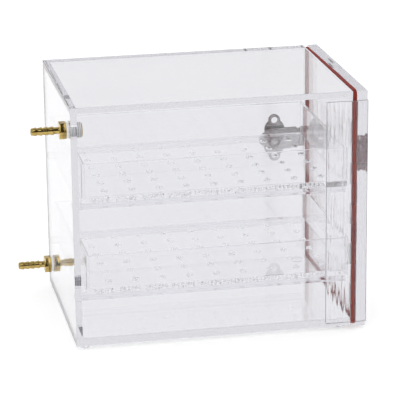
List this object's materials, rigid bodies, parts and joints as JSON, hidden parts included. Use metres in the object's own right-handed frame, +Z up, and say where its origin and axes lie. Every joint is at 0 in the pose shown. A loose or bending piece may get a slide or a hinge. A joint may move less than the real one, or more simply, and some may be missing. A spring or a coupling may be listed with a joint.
{
  "type": "desiccator cabinet",
  "caption": "Clear bench-top desiccator cabinet with a gasketed side-hinged door, twist latch, hose barbs at the back and perforated trays on rails.",
  "frame": {"origin": "on the bench, midway between the barb tips and the door along X and between the hinge barrel and the latch along Y", "axes": "+X from the back panel towards the door, +Y from the hinge side towards the latch side, +Z up"},
  "size_m": [0.3008, 0.1976, 0.2266],
  "materials": {
    "acrylic": "polished clear acrylic sheet with a faint cool tint",
    "hinge_clear": "clear extruded plastic",
    "foot_clear": "clear soft bumper",
    "silicone": "red-brown silicone, satin",
    "brass": "turned brass, lightly dulled",
    "washer_white": "white plastic washer",
    "nickel": "nickel-plated pressed steel"
  },
  "bodies": {
    "cabinet": {"back_panel": "acrylic", "bottom_panel": "acrylic", "door_gasket": "silicone", "foot_back_hinge_side": "foot_clear", "foot_back_latch_side": "foot_clear", "foot_front_hinge_side": "foot_clear", "foot_front_latch_side": "foot_clear", "hinge_body_leaf": "hinge_clear", "hinge_pin": "nickel", "hinge_side_panel": "acrylic", "latch_base": "nickel", "latch_rivet": "nickel", "latch_screw_front": "nickel", "latch_screw_nose": "nickel", "latch_side_panel": "acrylic", "lower_barb_washer": "washer_white", "lower_hose_barb": "brass", "lower_rail_hinge_side": "acrylic", "lower_rail_latch_side": "acrylic", "top_panel": "acrylic", "upper_barb_washer": "washer_white", "upper_hose_barb": "brass", "upper_rail_hinge_side": "acrylic", "upper_rail_latch_side": "acrylic"},
    "door": {"door_panel": "acrylic", "hinge_door_leaf": "hinge_clear", "latch_keeper": "nickel", "keeper_screw_top": "nickel", "keeper_screw_bottom": "nickel"},
    "wing": {"latch_wing": "nickel", "latch_cam": "nickel"},
    "carrier": {"latch_carrier": "nickel", "claw_pin": "nickel"},
    "claw": {"latch_claw": "nickel"},
    "upper_tray": {"upper_tray_back_wall": "acrylic", "upper_tray_floor": "acrylic", "upper_tray_front_wall": "acrylic", "upper_tray_hinge_side_wall": "acrylic", "upper_tray_latch_side_wall": "acrylic"},
    "lower_tray": {"lower_tray_back_wall": "acrylic", "lower_tray_floor": "acrylic", "lower_tray_front_wall": "acrylic", "lower_tray_hinge_side_wall": "acrylic", "lower_tray_latch_side_wall": "acrylic"}
  },
  "joints": [
    {"name": "door_hinge", "type": "hinge", "parent": "cabinet", "child": "door", "pos_m": [0.1378, -0.09613, 0], "axis": [0, 0, -1], "range_deg": [0, 180]},
    {"name": "wing_turn", "type": "hinge", "parent": "cabinet", "child": "wing", "pos_m": [0.1079, 0.09158, 0.1328], "axis": [0, 1, 0], "range_deg": [0, 180]},
    {"name": "carrier_slide", "type": "slide", "parent": "cabinet", "child": "carrier", "axis": [1, 0, 0], "range_m": [0, 0.004]},
    {"name": "claw_tip", "type": "hinge", "parent": "carrier", "child": "claw", "pos_m": [0.1332, 0.09398, 0.1328], "axis": [0, 0, 1], "range_deg": [0, 15]},
    {"name": "upper_tray_slide", "type": "slide", "parent": "cabinet", "child": "upper_tray", "axis": [1, 0, 0], "range_m": [-0.003, 0.007]},
    {"name": "lower_tray_slide", "type": "slide", "parent": "cabinet", "child": "lower_tray", "axis": [1, 0, 0], "range_m": [-0.005, 0.005]}
  ],
  "couplings": [
    {"joint": "carrier_slide", "follows": "wing_turn", "m_per_rad": 0.001273}
  ]
}
